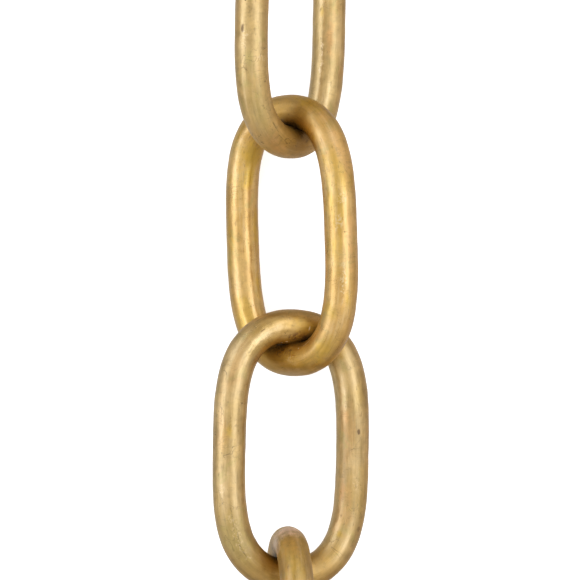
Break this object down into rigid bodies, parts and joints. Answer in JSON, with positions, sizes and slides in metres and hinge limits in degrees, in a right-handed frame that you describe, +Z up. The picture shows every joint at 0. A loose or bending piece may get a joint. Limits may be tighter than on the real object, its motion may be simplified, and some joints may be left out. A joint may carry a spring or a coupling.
{
  "type": "oval link chain",
  "caption": "Straight length of plain brass oval link chain lying with a quarter twist, its round wire links hooked through one another.",
  "frame": {"origin": "on the floor, under the middle of the chain's bounding box", "axes": "+X along the chain, +Y across it, +Z up"},
  "size_m": [0.3034, 0.0214, 0.0219],
  "materials": {
    "brass": "aged satin, unlacquered, fine pits and scratches"
  },
  "bodies": {
    "root": {"link_01": "brass", "link_02": "brass", "link_03": "brass", "link_04": "brass", "link_05": "brass", "link_06": "brass", "link_07": "brass", "link_08": "brass", "link_09": "brass", "link_10": "brass"}
  },
  "joints": []
}
